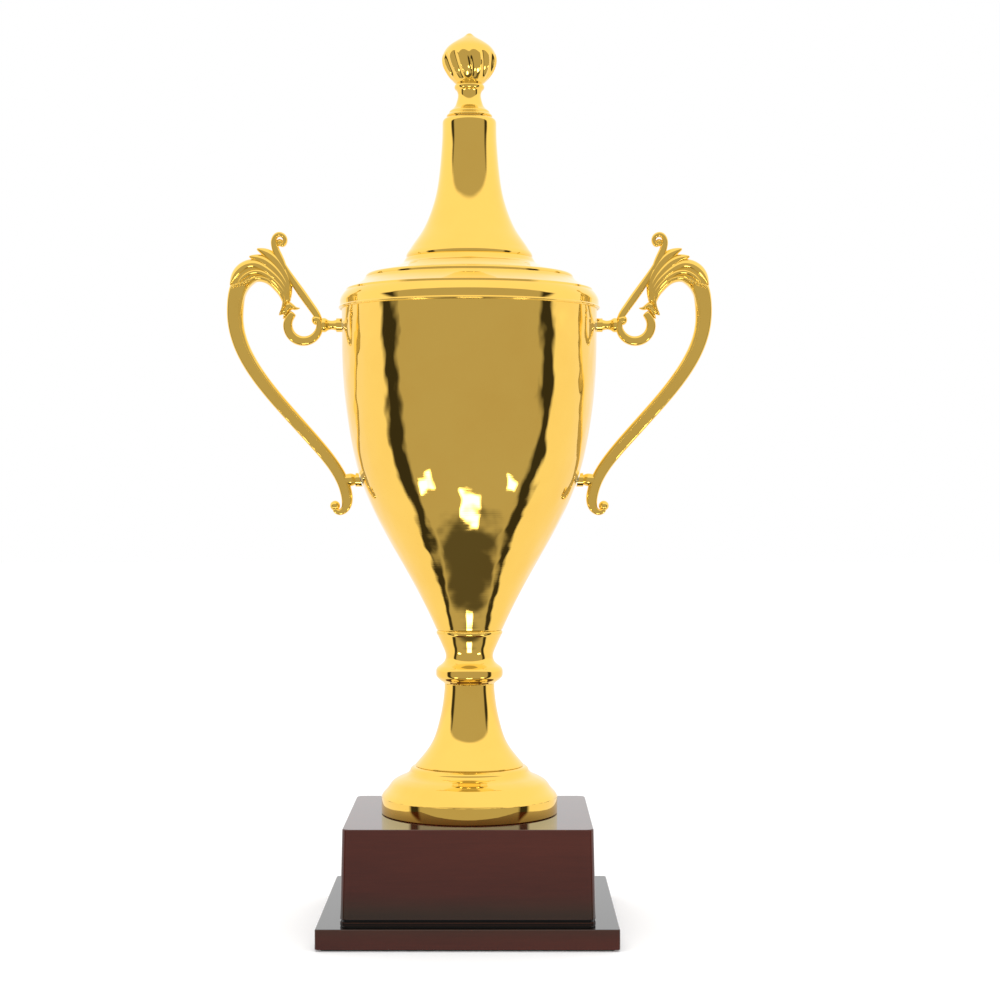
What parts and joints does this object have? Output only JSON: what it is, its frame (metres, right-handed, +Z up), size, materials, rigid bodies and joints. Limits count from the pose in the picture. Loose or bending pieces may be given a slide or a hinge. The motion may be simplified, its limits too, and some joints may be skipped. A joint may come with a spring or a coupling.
{
  "type": "cup trophy",
  "caption": "Award cup with a lift-off lid: a spun bowl with two scrolled handles on a stem and foot, tied by one rod to a lacquered wooden plinth, with a tall finial on the lid.",
  "frame": {"origin": "centre of the plinth's underside", "axes": "+Z up, +X towards the right-hand handle, +Y to the back"},
  "size_m": [0.3012, 0.166, 0.5524],
  "materials": {
    "gold_plate": "polished gold plate",
    "steel": "zinc-plated",
    "lacquer": "high gloss dark brown lacquer",
    "bare_wood": "sawn, unfinished",
    "felt": "matt felt"
  },
  "bodies": {
    "trophy": {"base_felt": "felt", "plinth_plate": "lacquer", "plinth_box": "lacquer", "plinth_blocks": "bare_wood", "plinth_screws": "steel", "foot_disc": "gold_plate", "foot_bell": "gold_plate", "stem_knob": "gold_plate", "cup_bowl": "gold_plate", "tie_rod": "steel", "base_nut": "steel", "base_washer": "steel", "cup_nut": "steel", "cup_washer": "steel", "handle_right": "gold_plate", "handle_left": "gold_plate", "handle_spacers": "gold_plate", "handle_washers": "steel", "handle_screws": "steel"},
    "lid": {"lid_disc": "gold_plate", "lid_tower": "gold_plate", "finial_neck": "gold_plate", "finial": "gold_plate", "lid_rod": "steel", "lid_nut": "steel", "lid_washer": "steel"}
  },
  "joints": [
    {"name": "lid_lift", "type": "slide", "parent": "trophy", "child": "lid", "axis": [0, 0, 1], "range_m": [0, 0.12]}
  ]
}
